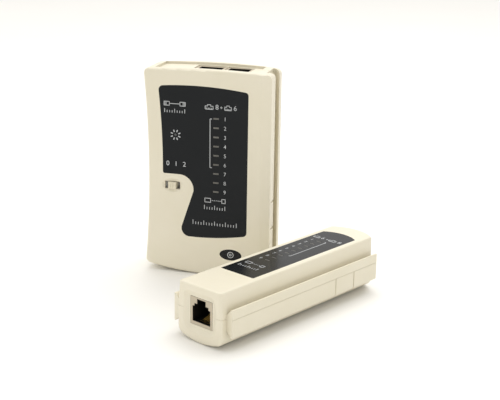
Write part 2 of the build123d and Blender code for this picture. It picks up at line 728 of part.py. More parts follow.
R_PORT_NEAR = 1.3
R_PORT_FAR = R_LENGTH - R_FAR_RISE - 1.3
R_END_WALL = 3.2
R_HALF = R_WIDTH / 2

with BuildPart() as remote_hollow:
    with BuildSketch(end_view(remote, R_END_WALL)):
        add(remote_section(WALL))
    extrude(amount=R_PORT_FAR - R_END_WALL - 1.9)

with BuildPart() as remote_front_shell:
    add(remote_body((0, SPLIT)))
    fillet(upright(remote_front_shell.edges()), R_CORNER)
    top = remote_front_shell.faces().sort_by(Axis.Z)[-1]
    fillet(top.edges(), 0.8)
    seam(remote, remote_outline(R_SIDE, SEAM), -1)
    add(remote_hollow.part, mode=Mode.SUBTRACT)
    front_bosses(remote, R_SCREWS)
    for x, y in ((-6.0, 33.0), (6.0, 94.0), (-6.0, 94.0), (6.0, 33.0)):
        post(remote, x, y, (WALL - 0.4, BOARD_FRONT), 1.6)
    with BuildSketch(at_depth(remote, FILM)):
        add(remote_label_outline())
    extrude(amount=FILM + 1, mode=Mode.SUBTRACT)
    for x, y in R_LEDS:
        block(remote, around(x, LED_SIZE[0] + 0.3), around(y, LED_SIZE[1] + 0.3), (-1, WALL + 1), Mode.SUBTRACT)
    add(rails((0, SPLIT)))
    end_recess()
save(remote_front_shell, "remote_front_shell")

with BuildPart() as remote_rear_shell:
    add(remote_body((SPLIT, R_DEPTH + 1)))
    ends = remote_rear_shell.faces().sort_by(Axis(remote.origin, remote.y_dir))
    rim = [e for f in (ends[0], ends[-1]) for e in f.edges() if e.center().Z < R_DEPTH - SPLIT - 0.01]
    fillet(rim, 1.0)
    seam(remote, remote_outline(R_SIDE, SEAM), 1)
    add(remote_hollow.part, mode=Mode.SUBTRACT)
    add(rails((SPLIT, R_DEPTH)))
    rear_bosses(remote, R_SCREWS)
    end_recess()
save(remote_rear_shell, "remote_rear_shell")

# ---- remote: what it carries ------------------------------------------------
with BuildPart() as remote_label:
    with BuildSketch(at_depth(remote, FILM)):
        add(remote_label_outline())
        with Locations(*R_LEDS):
            Rectangle(*WINDOW, mode=Mode.SUBTRACT)
    extrude(amount=FILM)
save(remote_label, "remote_label")

with BuildPart() as remote_board:
    board_half = R_HALF - WALL - 0.3
    block(remote, (-board_half, board_half), (R_END_WALL + 0.4, R_PORT_FAR - 2.3), (BOARD_FRONT, BOARD_BACK))
    for x, y in R_SCREWS:
        post(remote, x, y, (BOARD_FRONT - 1, BOARD_BACK + 1), BOSS_R + 0.3, Mode.SUBTRACT)
save(remote_board, "remote_board")

remote_leds = leds(remote, R_LEDS)
save(remote_leds, "remote_leds")

with BuildPart() as remote_diodes:
    for i in range(9):
        y = 38.0 + i * 4.4
        with BuildSketch(end_view(remote, y - 0.95)) as tube:
            with Locations((-4.6, BOARD_BACK + 0.95)):
                Rectangle(4.6, 1.9)
        extrude(tube.sketch, amount=1.9)
save(remote_diodes, "remote_diodes")

near = jack_plane(remote, 0, R_PORT_NEAR, -1)
far = jack_plane(remote, 0, R_PORT_FAR, 1)
remote_rj11_jack = jack(near, JACK_WIDTH_6, MOUTH_HALF_6)
save(remote_rj11_jack, "remote_rj11_jack")
remote_rj11_contacts = contacts(near, MOUTH_HALF_6)
save(remote_rj11_contacts, "remote_rj11_contacts")
remote_rj45_jack = jack(far, JACK_WIDTH_8, MOUTH_HALF_8)
save(remote_rj45_jack, "remote_rj45_jack")
remote_rj45_contacts = contacts(far, MOUTH_HALF_8)
save(remote_rj45_contacts, "remote_rj45_contacts")
remote_screws = screws(remote, R_SCREWS)
save(remote_screws, "remote_screws")
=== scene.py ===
"""Looks of a two-part network cable tester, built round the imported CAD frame."""

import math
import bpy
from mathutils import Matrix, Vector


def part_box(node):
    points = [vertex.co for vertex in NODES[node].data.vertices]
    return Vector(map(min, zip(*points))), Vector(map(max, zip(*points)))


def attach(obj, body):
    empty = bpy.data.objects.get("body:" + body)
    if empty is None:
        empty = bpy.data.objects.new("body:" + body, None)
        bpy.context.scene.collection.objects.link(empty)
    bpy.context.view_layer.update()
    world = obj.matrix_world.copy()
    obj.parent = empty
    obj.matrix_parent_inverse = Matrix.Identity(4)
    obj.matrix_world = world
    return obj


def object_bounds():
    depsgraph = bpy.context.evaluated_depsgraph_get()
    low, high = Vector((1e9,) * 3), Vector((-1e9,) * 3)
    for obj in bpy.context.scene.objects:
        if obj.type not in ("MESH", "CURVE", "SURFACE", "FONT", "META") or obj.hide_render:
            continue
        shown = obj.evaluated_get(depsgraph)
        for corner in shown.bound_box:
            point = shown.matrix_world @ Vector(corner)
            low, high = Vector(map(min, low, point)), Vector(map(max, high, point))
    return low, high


bl_info = {
    "name": "Cable Tester Looks",
    "version": (1, 0, 0),
    "blender": (4, 5, 0),
    "location": "View3D > Sidebar > Cable Tester",
    "description": "Prints, lamp lenses, small parts, finishes and studio stage of a cable tester",
    "category": "Object",
}

import bpy
from bpy.props import FloatProperty, FloatVectorProperty, PointerProperty
from mathutils import Matrix, Vector

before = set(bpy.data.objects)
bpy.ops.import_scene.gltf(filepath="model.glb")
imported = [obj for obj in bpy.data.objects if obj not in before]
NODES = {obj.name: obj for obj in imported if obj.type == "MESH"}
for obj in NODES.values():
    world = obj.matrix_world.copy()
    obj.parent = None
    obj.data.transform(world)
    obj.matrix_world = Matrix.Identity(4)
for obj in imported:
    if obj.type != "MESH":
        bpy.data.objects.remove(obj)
CAD_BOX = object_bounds()

MM = 0.001
REMOTE_TURN = math.radians(62.9)      # from +X to the remote's length

# Places on a unit, mm: x from its middle line, y from the main unit's foot or the remote's near end
LAMPS, LAMP_PITCH = 9, 4.63
MAIN_LAMP_X, MAIN_LAMP_TOP = 5.0, 81.3
REMOTE_LAMP_X, REMOTE_LAMP_NEAR = -1.8, 45.9
POWER_LAMP = (-15.9, 71.8)


# ---- frames of the two units ------------------------------------------------
def main_frame():
    """Local x is across, y is up and z points out of the main unit's front face."""
    low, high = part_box("master_front_shell")
    across, up, out = Vector((1, 0, 0)), Vector((0, 0, 1)), Vector((0, -1, 0))
    return placed(across, up, out, Vector(((low.x + high.x) / 2, low.y, low.z)))


def remote_frame():
    """Local x is across, y runs along the remote from its near end and z points up out of its label."""
    across = Vector((math.sin(REMOTE_TURN), -math.cos(REMOTE_TURN), 0))
    along = Vector((math.cos(REMOTE_TURN), math.sin(REMOTE_TURN), 0))
    low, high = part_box("remote_leds")
    middle = (low + high) / 2
    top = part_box("remote_label")[1].z
    middle_y = REMOTE_LAMP_NEAR + (LAMPS - 1) / 2 * LAMP_PITCH
    origin = middle - across * REMOTE_LAMP_X * MM - along * middle_y * MM
    return placed(across, along, Vector((0, 0, 1)), Vector((origin.x, origin.y, top)))


def placed(x_axis, y_axis, z_axis, origin):
    """Matrix of a frame with these axes and this origin."""
    matrix = Matrix.Identity(4)
    for column, axis in enumerate((x_axis, y_axis, z_axis, origin)):
        matrix.col[column][:3] = axis
    return matrix


# ---- modelling helpers ------------------------------------------------------
DOUBLES = 1e-7                        # vertices this close, m, are one


def only(obj):
    """Selects obj alone and makes it active."""
    bpy.ops.object.select_all(action="DESELECT")
    obj.select_set(True)
    bpy.context.view_layer.objects.active = obj
    return obj


def fresh(name):
    """The object that an add operator has just made."""
    obj = bpy.context.view_layer.objects.active
    obj.name = obj.data.name = name
    return obj


def pick_faces(obj, wanted):
    """In edit mode, selects just the faces for which wanted(middle, normal) is true."""
    bpy.ops.mesh.select_mode(type="FACE")
    bpy.ops.mesh.select_all(action="DESELECT")
    bpy.ops.object.mode_set(mode="OBJECT")
    for face in obj.data.polygons:
        face.select = wanted(face.center, face.normal)
    bpy.ops.object.mode_set(mode="EDIT")


def applied(obj):
    """Puts obj's place, turn and scale into its mesh."""
    only(obj)
    bpy.ops.object.transform_apply(location=True, rotation=True, scale=True)
    return obj


def joined(parts, name):
    """One object made of several."""
    only(parts[0])
    for part in parts:
        part.select_set(True)
    bpy.ops.object.join()
    return fresh(name)


def copied(obj, shift):
    """A copy with its own mesh, moved by shift."""
    only(obj)
    bpy.ops.object.duplicate(linked=False)
    bpy.ops.transform.translate(value=shift)
    return bpy.context.view_layer.objects.active


def outward(obj):
    """Merges doubles and points every face outwards."""
    only(obj)
    bpy.ops.object.mode_set(mode="EDIT")
    bpy.ops.mesh.select_all(action="SELECT")
    bpy.ops.mesh.remove_doubles(threshold=DOUBLES)
    bpy.ops.mesh.normals_make_consistent(inside=False)
    bpy.ops.object.mode_set(mode="OBJECT")
    return obj


def settle(obj, unit, body, material):
    """Puts a piece modelled in a unit's own frame, in metres, into its place and on its body."""
    applied(obj)
    obj.data.transform(unit)
    obj.data.update()
    dress(obj, material)
    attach(obj, body)
    return obj


def dress(obj, material):
    """Gives obj one material."""
    obj.data.materials.clear()
    obj.data.materials.append(material)


# ---- print ------------------------------------------------------------------
CAPITAL_SHARE = 0.72                  # height of a figure, in its font's size
CORNER_SHARE = 0.25                   # softening of a stroke's corner, in its width
SHORT_TICK = 0.6                      # height of a short tick, in a long one's
LONG_EVERY = 4                        # ticks from one long tick to the next
RAYS = 8


def figure(text, x, y, height, thickness):
    """A plain number or sign of the built-in font, centred at (x, y) mm."""
    bpy.ops.object.text_add(location=(x * MM, y * MM, 0))
    letter = fresh("figure")
    letter.data.body = text
    letter.data.align_x, letter.data.align_y = "CENTER", "CENTER"
    letter.data.size = height * MM / CAPITAL_SHARE
    letter.data.resolution_u = 3
    letter.data.extrude = thickness * MM / 2
    only(letter)
    bpy.ops.object.convert(target="MESH")
    return applied(fresh("figure"))


def stroke(x, y, width, height, thickness, turn=0.0):
    """A flat bar of ink, centred at (x, y) mm, with softened corners."""
    bpy.ops.mesh.primitive_plane_add(
        size=1, location=(x * MM, y * MM, -thickness * MM / 2), rotation=(0, 0, turn)
    )
    bar = fresh("stroke")
    bar.scale = (width * MM, height * MM, 1)
    applied(bar)
    bpy.ops.object.mode_set(mode="EDIT")
    bpy.ops.mesh.select_all(action="SELECT")
    bpy.ops.mesh.bevel(offset=min(width, height) * MM * CORNER_SHARE, segments=2, affect="VERTICES")
    bpy.ops.mesh.select_all(action="SELECT")
    bpy.ops.mesh.extrude_region_move(TRANSFORM_OT_translate={"value": (0, 0, thickness * MM)})
    bpy.ops.object.mode_set(mode="OBJECT")
    return bar


def ring(x, y, width, height, line, thickness, corners=32):
    """A flat oval outline of ink."""
    bpy.ops.mesh.primitive_circle_add(
        vertices=corners, radius=0.5, fill_type="NGON", location=(x * MM, y * MM, -thickness * MM / 2)
    )
    loop = fresh("ring")
    loop.scale = (width * MM, height * MM, 1)
    applied(loop)
    bpy.ops.object.mode_set(mode="EDIT")
    bpy.ops.mesh.select_all(action="SELECT")
    bpy.ops.mesh.inset(thickness=line * MM, depth=0)
    bpy.ops.mesh.delete(type="FACE")
    bpy.ops.mesh.select_all(action="SELECT")
    bpy.ops.mesh.extrude_region_move(TRANSFORM_OT_translate={"value": (0, 0, thickness * MM)})
    bpy.ops.object.mode_set(mode="OBJECT")
    return loop


def socket_sign(x, y, width, height, ink):
    """Outline of a modular socket with four contacts, made of strokes."""
    line, thick = ink.stroke_width, ink.thickness
    low, top = y - height / 2, y + height / 2
    shoulder = top - height * 0.3
    notch = width * 0.2               # half the latch's notch, and the step from contact to contact
    parts = [stroke(x, low, width, line, thick), stroke(x, top, 2 * notch + line, line, thick)]
    for side in (-1, 1):
        parts.append(stroke(x + side * width / 2, (low + shoulder) / 2, line, shoulder - low, thick))
        ledge = width / 2 - notch
        parts.append(stroke(x + side * (notch + ledge / 2), shoulder, ledge + line, line, thick))
        parts.append(stroke(x + side * notch, (shoulder + top) / 2, line, top - shoulder, thick))
    for i in range(4):
        parts.append(stroke(x + (i - 1.5) * notch, low + height * 0.22, line * 0.8, height * 0.28, thick))
    return parts


def rays(x, y, inner, outer, width, ink):
    """Dashes round the power lamp's window, from one radius to another."""
    parts = []
    middle = (inner + outer) / 2
    for i in range(RAYS):
        turn = math.tau * (i + 0.5) / RAYS
        parts.append(stroke(x + middle * math.cos(turn), y + middle * math.sin(turn), outer - inner, width,
                            ink.thickness, turn))
    return parts


def rule(x, y, width, height, count, ink):
    """A row of ticks standing on one line, some of them long."""
    parts = []
    for i in range(count):
        tall = height if i % LONG_EVERY == 0 else height * SHORT_TICK
        at = x - width / 2 + width * i / (count - 1)
        parts.append(stroke(at, y - height / 2 + tall / 2, ink.stroke_width, tall, ink.thickness))
    return parts


def unit_sign(x, y, height, ink):
    """A large box linked to a small one, main unit and remote unit, in shares of the height."""
    thick, line = ink.thickness, ink.stroke_width
    parts = []
    for at, wide in ((x - height * 1.9, height * 1.5), (x + height * 2.2, height * 0.9)):
        for side in (-1, 1):
            parts.append(stroke(at, y + side * height / 2, wide + line, line, thick))
            parts.append(stroke(at + side * wide / 2, y, line, height, thick))
    for i in range(5):
        parts.append(stroke(x + (i - 1.4) * height * 0.5, y, height * 0.28, line, thick))
    return parts


def plug_sign(x, y, width, height, ink):
    """Two plugs on one lead, in shares of the width and the height."""
    thick, line = ink.thickness, ink.stroke_width
    parts = [stroke(x, y, width * 0.5, line, thick)]
    for side in (-1, 1):
        at = x + side * width * 0.36
        parts.append(stroke(at, y + height / 2, width * 0.24, line, thick))
        parts.append(stroke(at, y - height / 2, width * 0.24, line, thick))
        for edge in (-1, 1):
            parts.append(stroke(at + edge * width * 0.12, y, line, height + line, thick))
        for i in (-1, 0, 1):
            core_x, core_y = at + side * width * 0.05, y + i * height * 0.26
            parts.append(stroke(core_x, core_y, width * 0.1, line * 0.7, thick))
    return parts


def plus_sign(x, y, size, ink):
    """A small cross."""
    line, thick = ink.stroke_width, ink.thickness
    return [stroke(x, y, size, line, thick), stroke(x, y, line, size, thick)]


def lamp_numbers(x, first, step, numbers, ink):
    """One plain number beside each lamp."""
    return [figure(str(number), x, first + i * step, ink.number_height, ink.thickness)
            for i, number in enumerate(numbers)]


def bracket(x, ends, arm_x, arm, ink):
    """A line beside the lamps, with a short arm at each end."""
    line, thick = ink.stroke_width, ink.thickness
    parts = [stroke(x, sum(ends) / 2, line, abs(ends[0] - ends[1]), thick)]
    return parts + [stroke(arm_x, y, arm, line, thick) for y in ends]


def printed(parts, name, unit, body, ink):
    """Joins strokes and figures into one print that stands on a unit's front."""
    lift = Matrix.Translation((0, 0, ink.thickness * MM / 2))
    return settle(outward(joined(parts, name)), unit @ lift, body, ink_material())


# ---- shader node helpers ----------------------------------------------------
GRAIN_DEPTH, LINE_DEPTH = 0.0002, 0.0001     # reach of the relief of grain and of drawn lines, m
DRIFT_SCALE, PATCH_SCALE = 38.0, 160.0       # noise scales of a moulding's shade, per m
LINE_SCALE = (60.0, 3200.0, 3200.0)          # noise scales along and across drawn lines, per m


class Tree:
    """Short calls for building a node tree."""

    def __init__(self, tree):
        self.tree = tree

    def add(self, kind, **settings):
        """A new node; inputs is a dictionary of sockets, and the rest are its own settings."""
        node = self.tree.nodes.new(kind)
        inputs = settings.pop("inputs", {})
        for key, value in settings.items():
            setattr(node, key, value)
        for key, value in inputs.items():
            self.feed(node, key, value)
        return node

    def feed(self, node, key, value):
        socket = node.inputs[key]
        if isinstance(value, bpy.types.NodeSocket):
            self.tree.links.new(value, socket)
        else:
            socket.default_value = value

    def maths(self, operation, a, b=0.0, clamp=False):
        node = self.add("ShaderNodeMath", operation=operation, use_clamp=clamp)
        self.feed(node, 0, a)
        self.feed(node, 1, b)
        return node.outputs[0]

    def mix(self, factor, a, b, blend="MIX"):
        node = self.add("ShaderNodeMix", data_type="RGBA", blend_type=blend)
        self.feed(node, 0, factor)
        self.feed(node, 6, a)
        self.feed(node, 7, b)
        return node.outputs[2]

    def span(self, value, low, high, out_low, out_high):
        node = self.add("ShaderNodeMapRange", clamp=True)
        for i, v in enumerate((value, low, high, out_low, out_high)):
            self.feed(node, i, v)
        return node.outputs[0]

    def noise(self, vector, scale, detail=2.0, rough=0.5):
        node = self.add("ShaderNodeTexNoise", inputs={"Vector": vector, "Scale": scale, "Detail": detail,
                                                      "Roughness": rough})
        return node.outputs["Fac"]

    def cells(self, vector, scale, output="Distance"):
        node = self.add("ShaderNodeTexVoronoi", inputs={"Vector": vector, "Scale": scale})
        return node.outputs[output]

    def along(self, place, start, axis):
        """How far place lies from start along axis."""
        shift = self.add("ShaderNodeVectorMath", operation="SUBTRACT", inputs={0: place, 1: start})
        return self.lean(shift.outputs[0], axis)

    def lean(self, vector, axis):
        """Dot product of two vectors."""
        node = self.add("ShaderNodeVectorMath", operation="DOT_PRODUCT", inputs={0: vector, 1: axis})
        return node.outputs["Value"]

    def relief(self, height, strength, distance):
        """The normal of a surface with small ups and downs."""
        node = self.add("ShaderNodeBump", inputs={"Height": height, "Strength": strength,
                                                  "Distance": distance})
        return node.outputs[0]


def linear(*rgb):
    """Linear RGBA of an sRGB colour given as 0 to 255."""
    out = []
    for value in rgb:
        c = value / 255
        out.append(c / 12.92 if c <= 0.04045 else ((c + 0.055) / 1.055) ** 2.4)
    return (*out, 1.0)


def make_group(name, sockets_in, sockets_out, build):
    """A shader node group, built once."""
    if name in bpy.data.node_groups:
        return bpy.data.node_groups[name]
    group = bpy.data.node_groups.new(name, "ShaderNodeTree")
    for label, kind, default in sockets_in:
        socket = group.interface.new_socket(name=label, in_out="INPUT", socket_type=kind)
        if default is not None:
            socket.default_value = default
    for label, kind in sockets_out:
        group.interface.new_socket(name=label, in_out="OUTPUT", socket_type=kind)
    tree = Tree(group)
    start, end = tree.add("NodeGroupInput"), tree.add("NodeGroupOutput")
    build(tree, start.outputs, end)
    return group


def build_moulded(tree, given, end):
    """Fine spark-eroded skin, slow shade variation and a little uneven gloss."""
    fine = tree.noise(given["Vector"], given["Grain Scale"], 3.0, 0.6)
    slow = tree.noise(given["Vector"], DRIFT_SCALE, 2.0, 0.5)
    patch = tree.noise(given["Vector"], PATCH_SCALE, 3.0, 0.6)
    shade = tree.maths("ADD", tree.maths("MULTIPLY", slow, 0.7), tree.maths("MULTIPLY", patch, 0.3))
    tree.feed(end, "Height", fine)
    tree.feed(end, "Shade", tree.span(shade, 0.35, 0.65, 0.0, 1.0))
    gloss = tree.maths("MULTIPLY", tree.span(patch, 0.3, 0.7, -0.5, 0.5), given["Gloss Variation"])
    tree.feed(end, "Roughness", tree.maths("ADD", given["Roughness"], gloss, True))


def build_crease(tree, given, end):
    """Painted shade that darkens where faces come close together, found by ambient occlusion and broken up by
    speckled noise.
    """
    hidden = tree.add("ShaderNodeAmbientOcclusion", samples=4, inputs={"Distance": given["Reach"]})
    open_share = hidden.outputs["AO"]
    speck = tree.noise(given["Vector"], 600.0, 2.0, 0.6)
    # painted shade: one minus ambient occlusion marks the creases to be darkened
    painted_crease_shade = tree.maths("SUBTRACT", 1.0, open_share)
    mask = tree.maths("MULTIPLY", painted_crease_shade, tree.span(speck, 0.3, 0.7, 0.7, 1.0))
    tree.feed(end, "Mask", tree.maths("MULTIPLY", mask, given["Amount"], True))


def build_specks(tree, given, end):
    """Sparse small marks, for lint, pinholes or flecks."""
    spots = tree.cells(given["Vector"], given["Scale"])
    chance = tree.cells(given["Vector"], given["Scale"], "Color")
    split = tree.add("ShaderNodeSeparateColor", inputs={"Color": chance}).outputs[0]
    dot = tree.span(spots, given["Size"], tree.maths("MULTIPLY", given["Size"], 1.6), 1.0, 0.0)
    tree.feed(end, "Mask", tree.maths("MULTIPLY", dot, tree.maths("LESS_THAN", split, given["Share"])))


def build_brushed(tree, given, end):
    """Fine parallel drawing lines along local X."""
    stretch = tree.add("ShaderNodeMapping", inputs={"Vector": given["Vector"], "Scale": LINE_SCALE})
    lines = tree.noise(stretch.outputs[0], 1.0, 3.0, 0.6)
    stain = tree.noise(given["Vector"], 420.0, 3.0, 0.6)
    tree.feed(end, "Height", lines)
    uneven = tree.span(lines, 0.3, 0.7, -0.08, 0.08)
    tree.feed(end, "Roughness", tree.maths("ADD", given["Roughness"], uneven))
    tree.feed(end, "Stain", tree.span(stain, 0.45, 0.75, 0.0, 1.0))


VECTOR, VALUE = "NodeSocketVector", "NodeSocketFloat"


def moulded_group():
    """The skin of every moulded plastic."""
    return make_group(
        "Moulded Skin",
        [("Vector", VECTOR, None), ("Grain Scale", VALUE, 3500.0), ("Roughness", VALUE, 0.45),
         ("Gloss Variation", VALUE, 0.06)],
        [("Height", VALUE), ("Shade", VALUE), ("Roughness", VALUE)],
        build_moulded,
    )


def crease_group():
    """The painted crease shade of every moulded plastic."""
    return make_group(
        "Painted Crease Shade",
        [("Vector", VECTOR, None), ("Reach", VALUE, 0.0015), ("Amount", VALUE, 0.5)],
        [("Mask", VALUE)],
        build_crease,
    )


def speck_group():
    """The pads of the boards."""
    return make_group(
        "Specks",
        [("Vector", VECTOR, None), ("Scale", VALUE, 300.0), ("Size", VALUE, 0.1), ("Share", VALUE, 0.05)],
        [("Mask", VALUE)],
        build_specks,
    )


def brushed_group():
    """The drawing lines of every metal."""
    return make_group(
        "Drawn Metal",
        [("Vector", VECTOR, None), ("Roughness", VALUE, 0.3)],
        [("Height", VALUE), ("Roughness", VALUE), ("Stain", VALUE)],
        build_brushed,
    )


def use(tree, group, **values):
    """Places a node group, its inputs named with underscores for spaces."""
    node = tree.add("ShaderNodeGroup", node_tree=group)
    for key, value in values.items():
        tree.feed(node, key.replace("_", " "), value)
    return node.outputs


def new_material(name):
    """(material, tree, Principled BSDF, Object coordinates)."""
    material = bpy.data.materials.new(name)
    material.use_nodes = True
    tree = Tree(material.node_tree)
    shader = material.node_tree.nodes["Principled BSDF"]
    place = tree.add("ShaderNodeTexCoord").outputs["Object"]
    return material, tree, shader, place


def plastic(name, colour, deep, roughness, grain=3500.0, bump=0.05, crease_shade_amount=0.5, reach=0.0015, coat=0.0,
            specular=0.5):
    """Moulded plastic: base colour drifting to a deeper one, skin grain, and painted shade darkening the
    creases.
    """
    material, tree, shader, place = new_material(name)
    skin = use(tree, moulded_group(), Vector=place, Grain_Scale=grain, Roughness=roughness)
    painted_crease_shade = use(tree, crease_group(), Vector=place, Reach=reach, Amount=crease_shade_amount)
    shade = tree.mix(skin["Shade"], colour, deep)
    # painted shade: the creases are mixed towards a darker copy of the deep colour
    dark = tuple(c * 0.45 for c in deep[:3]) + (1.0,)
    tree.feed(shader, "Base Color", tree.mix(painted_crease_shade["Mask"], shade, dark))
    tree.feed(shader, "Roughness", skin["Roughness"])
    tree.feed(shader, "Normal", tree.relief(skin["Height"], bump, GRAIN_DEPTH))
    shader.inputs["Specular IOR Level"].default_value = specular
    if coat:
        shader.inputs["Coat Weight"].default_value = coat
        shader.inputs["Coat Roughness"].default_value = 0.08
    return material, tree, shader, place


def metal(name, colour, tint, roughness, metallic=1.0):
    """Drawn or plated metal, stained in places with a second tint."""
    material, tree, shader, place = new_material(name)
    drawn = use(tree, brushed_group(), Vector=place, Roughness=roughness)
    tree.feed(shader, "Base Color", tree.mix(drawn["Stain"], colour, tint))
    tree.feed(shader, "Roughness", drawn["Roughness"])
    shader.inputs["Metallic"].default_value = metallic
    tree.feed(shader, "Normal", tree.relief(drawn["Height"], 0.1, LINE_DEPTH))
    return material


# ---- settings ---------------------------------------------------------------
class TesterShellSettings(bpy.types.PropertyGroup):
    """Colour and skin of the ivory shells."""

    colour: FloatVectorProperty(
        name="Shell colour", description="Ivory of the moulded shells", subtype="COLOR", size=4,
        default=linear(234, 227, 207), min=0, max=1)
    deep: FloatVectorProperty(
        name="Shell shade", description="Slightly deeper ivory that the shells drift to", subtype="COLOR",
        size=4, default=linear(231, 224, 202), min=0, max=1)
    roughness: FloatProperty(
        name="Shell roughness", description="Roughness of the moulded skin", default=0.42, min=0, max=1)
    grain: FloatProperty(
        name="Shell grain", description="Noise scale of the moulded skin", default=3800.0, min=100)
    bump: FloatProperty(
        name="Shell relief", description="Strength of the skin's relief", default=0.06, min=0, max=1)


class TesterPrintSettings(bpy.types.PropertyGroup):
    """Ink on the labels, sizes in millimetres."""

    colour: FloatVectorProperty(
        name="Ink colour", description="Light grey ink", subtype="COLOR", size=4,
        default=linear(205, 208, 210), min=0, max=1)
    label_colour: FloatVectorProperty(
        name="Label colour", description="Charcoal film", subtype="COLOR", size=4,
        default=linear(29, 31, 33), min=0, max=1)
    thickness: FloatProperty(
        name="Ink thickness", description="How far the ink stands proud, mm", default=0.03, min=0.005,
        max=0.2)
    stroke_width: FloatProperty(
        name="Stroke width", description="Width of printed lines, mm", default=0.34, min=0.1, max=1)
    number_height: FloatProperty(
        name="Number height", description="Height of the lamp numbers, mm", default=1.95, min=0.8, max=4)
    title_height: FloatProperty(
        name="Sign height", description="Height of the larger signs, mm", default=2.5, min=0.8, max=5)


class TesterStageSettings(bpy.types.PropertyGroup):
    """Camera, lights and floor."""

    camera_at: FloatVectorProperty(
        name="Camera", description="Where the camera stands", subtype="XYZ", unit="LENGTH",
        default=(0.135289, -0.48249, 0.20183))
    yaw: FloatProperty(name="Yaw", description="Turn of the view from +Y towards +X, radians", default=-0.265)
    pitch: FloatProperty(name="Pitch", description="How far the view looks down, radians", default=0.292)
    roll: FloatProperty(name="Roll", description="Tilt of the view, radians", default=0.014)
    lens: FloatProperty(
        name="Lens", description="Focal length, mm, on a 36 mm sensor", default=81.285, min=10)
    floor_colour: FloatVectorProperty(
        name="Floor colour", description="Pale floor", subtype="COLOR", size=4,
        default=(0.93, 0.92, 0.89, 1), min=0, max=1)
    floor_size: FloatProperty(
        name="Floor size", description="Side of the floor", default=14.0, min=1, unit="LENGTH")
    room_light: FloatProperty(
        name="Room light", description="Strength of the room's light on its bright side", default=1.16, min=0)
    room_dark: FloatProperty(
        name="Room shade", description="Strength of the room's light on its dark side", default=0.25, min=0)
    bright_side: FloatVectorProperty(
        name="Bright side", description="Direction that the room's light comes from", subtype="DIRECTION",
        default=(-0.45, 0.5, 0.74))
    room_tint: FloatVectorProperty(
        name="Room tint", description="Colour of the room's light", subtype="COLOR", size=4,
        default=(1.0, 0.985, 0.96, 1), min=0, max=1)
    key_power: FloatProperty(
        name="Key power", description="Power of the overhead light, W", default=5.5, min=0)
    fill_power: FloatProperty(
        name="Fill power", description="Power of the front light, W", default=1.5, min=0)


# ---- operators: finishes ----------------------------------------------------
class TESTER_OT_shells(bpy.types.Operator):
    """Give the shells and the battery door their moulded ivory skin"""

    bl_idname = "tester.shells"
    bl_label = "Shells and battery door"

    def execute(self, context):
        wish = context.scene.tester_shell
        # painted shade darkens the shells' creases and seams, at this amount and reach
        ivory, *_ = plastic("Shell ivory", tuple(wish.colour), tuple(wish.deep), wish.roughness,
                            grain=wish.grain, bump=wish.bump, crease_shade_amount=0.42, reach=0.003)
        for node in ("master_front_shell", "master_rear_shell", "battery_door",
                     "remote_front_shell", "remote_rear_shell"):
            dress(NODES[node], ivory)
        return {"FINISHED"}


class TESTER_OT_labels(bpy.types.Operator):
    """Charcoal film of both labels and the gloss badge"""

    bl_idname = "tester.labels"
    bl_label = "Label films and badge"

    def execute(self, context):
        wish = context.scene.tester_print
        base = tuple(wish.label_colour)
        lighter = tuple(min(1.0, c * 1.12) for c in base[:3]) + (1.0,)
        film, *_ = plastic("Label film", base, lighter, 0.22, grain=5200.0, bump=0.03, crease_shade_amount=0.1,
                           specular=0.13)
        dress(NODES["master_label"], film)
        dress(NODES["remote_label"], film)
        gloss, *_ = plastic("Badge gloss", linear(16, 17, 19), linear(20, 21, 24), 0.22, grain=5200.0,
                            bump=0.03, crease_shade_amount=0.1, specular=0.25)
        dress(NODES["master_badge"], gloss)
        return {"FINISHED"}


def ink_material():
    """The ink of every print, made once."""
    if "Label ink" in bpy.data.materials:
        return bpy.data.materials["Label ink"]
    colour = tuple(bpy.context.scene.tester_print.colour)
    worn = tuple(c * 0.72 for c in colour[:3]) + (1.0,)
    ink, *_ = plastic("Label ink", colour, worn, 0.5, grain=6000.0, bump=0.04, crease_shade_amount=0.0)
    return ink


# Places of the main label's print, mm: centre x, centre y and, where given, width and height
MAIN_NUMBER_X = 9.55
MAIN_BRACKET_X, MAIN_ARM_X, MAIN_ARM = 1.9, 2.4, 1.0
MAIN_BRACKET_ENDS = (MAIN_LAMP_TOP - 0.2, MAIN_LAMP_TOP - 5 * LAMP_PITCH - 1.6)
POWER_RAYS = (1.5, 2.7, 0.58)                # inner radius, outer radius, width
MAIN_PLUGS = (-16.3, 87.4, 11.4, 1.9)
MAIN_LINKED_BOXES = (4.6, 39.7, 2.0)
MAIN_RULES = ((-16.3, 83.9, 10.4, 2.0, 9), (4.4, 36.0, 10.6, 2.2, 9), (4.4, 27.7, 22.6, 2.3, 17))
SWITCH_FIGURES, SWITCH_FIGURES_Y = (("0", -20.0), ("1", -15.7), ("2", -11.4)), 57.0
SIGN_ROW_Y, REMOTE_SIGN_ROW_Y = 87.0, 88.0
SOCKET_8_SIGN, SOCKET_6_SIGN = (4.0, 2.2), (3.4, 2.2)
PLUS_SIZE = 1.1

# Places of the remote label's print, mm
REMOTE_NUMBER_X = -5.9
REMOTE_BRACKET_X, REMOTE_ARM_X, REMOTE_ARM = 2.3, 1.9, 0.9
REMOTE_BRACKET_ENDS = (57.1, 83.7)
REMOTE_LINKED_BOXES = (-1.8, 37.6, 2.0)
REMOTE_RULE = (-1.9, 33.1, 10.8, 2.2, 9)


